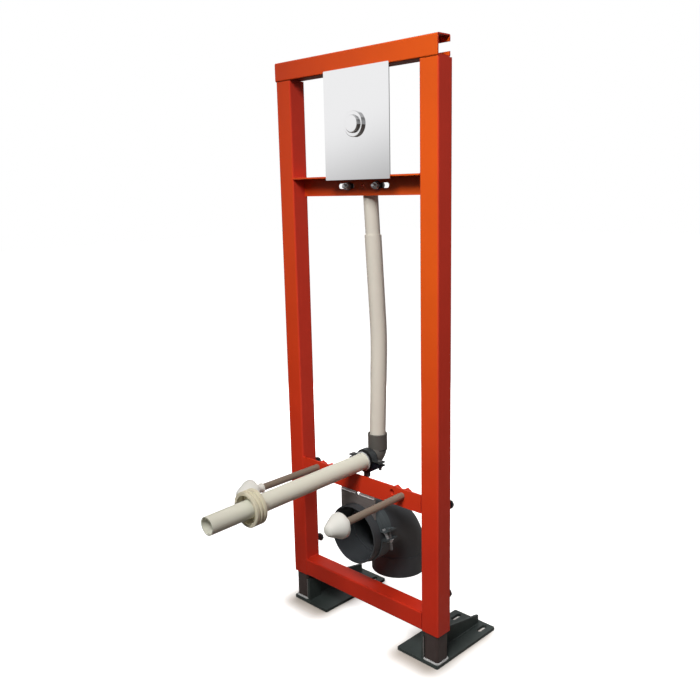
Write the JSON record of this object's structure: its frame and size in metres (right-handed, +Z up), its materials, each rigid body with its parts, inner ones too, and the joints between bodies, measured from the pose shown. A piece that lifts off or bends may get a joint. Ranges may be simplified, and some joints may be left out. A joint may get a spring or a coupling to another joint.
{
  "type": "wall hung toilet frame",
  "caption": "Open steel support frame for a wall hung toilet pan, with telescoping feet, push-button flush valve, flush pipe, pan studs and a waste bend.",
  "frame": {"origin": "on the floor, midway between the floor slots of the two feet", "axes": "+Z up, +Y back towards the wall, +X to the right as seen from the front"},
  "size_m": [0.4, 0.5407, 1.124],
  "materials": {
    "frame_paint": "satin orange-red powder coat",
    "foot_steel": "near-black lacquered steel",
    "black_steel": "blackened bolts",
    "zinc": "zinc-plated steel",
    "chrome": "polished chrome",
    "brass": "chromed brass body",
    "white_pvc": "off-white PVC",
    "grey_pvc": "dark grey PVC",
    "cream_rubber": "cream rubber",
    "black_rubber": "black rubber",
    "grey_sleeve": "grey-brown plastic sleeve",
    "white_cap": "white plastic",
    "black_plastic": "black moulded plastic",
    "band_steel": "dark coated steel band"
  },
  "bodies": {
    "frame": {"left_upright": "frame_paint", "right_upright": "frame_paint", "top_rail": "frame_paint", "bottom_rail": "frame_paint", "valve_crossbar": "frame_paint", "pan_crossbar": "frame_paint", "left_upper_leg_bolt": "black_steel", "left_lower_leg_bolt": "black_steel", "right_upper_leg_bolt": "black_steel", "right_lower_leg_bolt": "black_steel", "left_valve_bolt": "zinc", "right_valve_bolt": "zinc", "valve_bracket": "zinc", "clip_stud": "zinc", "clip_lower_half": "zinc", "clip_upper_half": "zinc", "band_screw": "zinc", "waste_hanger": "zinc", "left_pan_stud": "zinc", "right_pan_stud": "zinc", "flush_plate": "chrome", "button_collar": "chrome", "flush_valve": "brass", "upper_flush_tube": "white_pvc", "lower_flush_tube": "white_pvc", "flush_pipe": "white_pvc", "flush_elbow": "grey_pvc", "pan_seal_ring": "cream_rubber", "clip_lining": "black_rubber", "left_stud_sleeve": "grey_sleeve", "right_stud_sleeve": "grey_sleeve", "left_stud_cap": "white_cap", "right_stud_cap": "white_cap", "waste_bend": "black_plastic", "waste_band": "band_steel"},
    "left_foot": {"left_leg": "foot_steel", "left_base_plate": "foot_steel", "left_gusset": "foot_steel"},
    "right_foot": {"right_leg": "foot_steel", "right_base_plate": "foot_steel", "right_gusset": "foot_steel"},
    "button": {"push_button": "chrome"}
  },
  "joints": [
    {"name": "left_foot_slide", "type": "slide", "parent": "frame", "child": "left_foot", "axis": [0, 0, -1], "range_m": [-0.01, 0.15]},
    {"name": "right_foot_slide", "type": "slide", "parent": "frame", "child": "right_foot", "axis": [0, 0, -1], "range_m": [-0.01, 0.15]},
    {"name": "button_press", "type": "slide", "parent": "frame", "child": "button", "axis": [0, 1, 0], "range_m": [0, 0.006], "stiffness_N_per_m": 900, "springref_m": -0.003}
  ]
}
